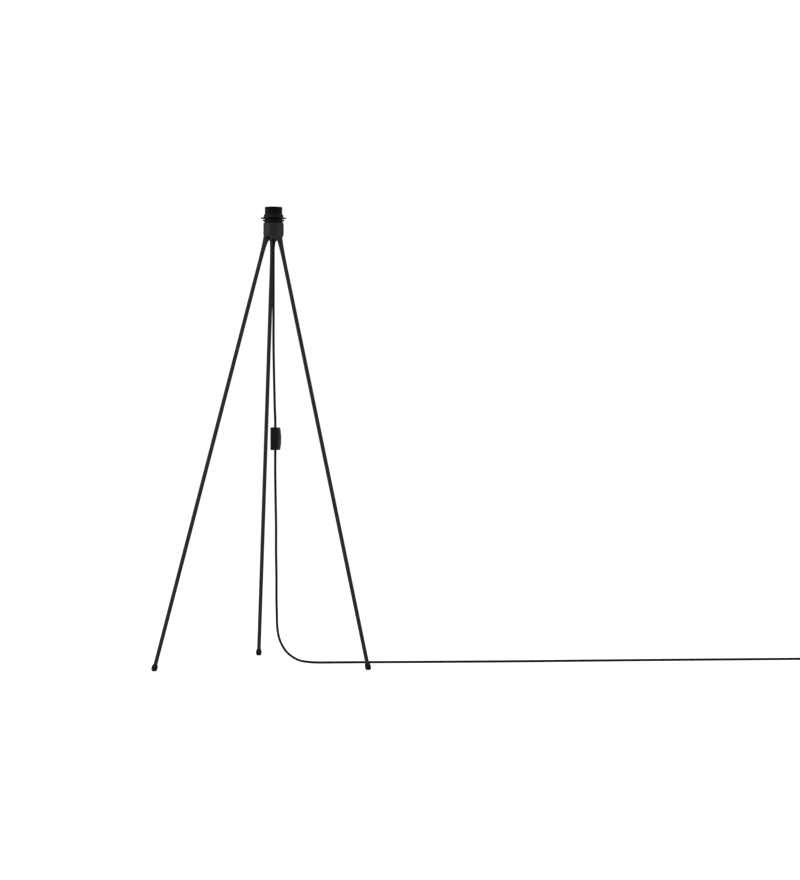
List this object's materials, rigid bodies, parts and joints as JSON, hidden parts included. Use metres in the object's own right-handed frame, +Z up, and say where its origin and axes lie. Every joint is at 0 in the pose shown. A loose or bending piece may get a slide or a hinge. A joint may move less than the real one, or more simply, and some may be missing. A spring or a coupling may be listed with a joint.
{
  "type": "tripod floor lamp base",
  "caption": "Slim matt-black tripod floor-lamp base: cast hub on splayed tube legs, threaded lampholder with shade rings, hanging cord with an in-line rocker switch and a plug.",
  "frame": {"origin": "on the floor, midway between the feet in X and in Y; the floor is z = 0", "axes": "+Z up; -Y towards the viewer, the side with two legs; +X to the viewer's right, where the cord runs"},
  "size_m": [1.7838, 0.444, 1.09],
  "materials": {
    "powder_coat": "matt black powder coat",
    "steel": "zinc-plated steel",
    "dark_steel": "blackened steel",
    "foot_rubber": "black moulded rubber",
    "nylon": "black moulded nylon",
    "moulding": "black phenolic moulding",
    "ring_plastic": "black moulded plastic",
    "shell_metal": "formed sheet metal",
    "contact_brass": "plain brass",
    "lead_plastic": "coloured lead insulation",
    "cord_textile": "black woven sheath",
    "switch_plastic": "satin black plastic",
    "rocker_plastic": "satin black plastic",
    "plug_plastic": "black moulded plastic",
    "pin_metal": "nickel-plated brass"
  },
  "bodies": {
    "stand": {"hub_casting": "powder_coat", "leg_left": "powder_coat", "leg_right": "powder_coat", "leg_rear": "powder_coat", "leg_spigots": "steel", "grub_screws": "dark_steel", "foot_left": "foot_rubber", "foot_right": "foot_rubber", "foot_rear": "foot_rubber", "cord_grip": "nylon", "nipple": "steel", "lock_washer": "steel", "nipple_nut": "steel", "holder_base": "moulding", "holder_insert": "moulding", "holder_sleeve": "moulding", "screw_shell": "shell_metal", "centre_contact": "contact_brass", "side_contact": "contact_brass", "contact_rivets": "contact_brass", "terminal_blocks": "contact_brass", "terminal_screws": "steel", "cord_tail": "cord_textile", "lamp_leads": "lead_plastic", "cord_upper": "cord_textile", "switch_base": "switch_plastic", "switch_cover": "switch_plastic", "rocker_pin": "steel", "switch_contacts": "contact_brass", "switch_screws": "steel", "cord_clamps": "nylon", "switch_tails": "cord_textile", "cord_lower": "cord_textile", "plug_relief": "plug_plastic", "plug_body": "plug_plastic", "plug_pins": "pin_metal"},
    "upper_ring": {"shade_ring_upper": "ring_plastic"},
    "lower_ring": {"shade_ring_lower": "ring_plastic"},
    "rocker": {"switch_rocker": "rocker_plastic", "switch_bridge": "contact_brass"}
  },
  "joints": [
    {"name": "upper_ring_screw", "type": "slide", "parent": "stand", "child": "upper_ring", "axis": [0, 0, 1], "range_m": [-0.0012, 0.018]},
    {"name": "lower_ring_screw", "type": "slide", "parent": "stand", "child": "lower_ring", "axis": [0, 0, 1], "range_m": [0, 0.0012]},
    {"name": "rocker_hinge", "type": "hinge", "parent": "stand", "child": "rocker", "pos_m": [0.04107, -0.07445, 0.539], "axis": [0.3746, 0.9272, 0], "range_deg": [-8, 0]}
  ]
}
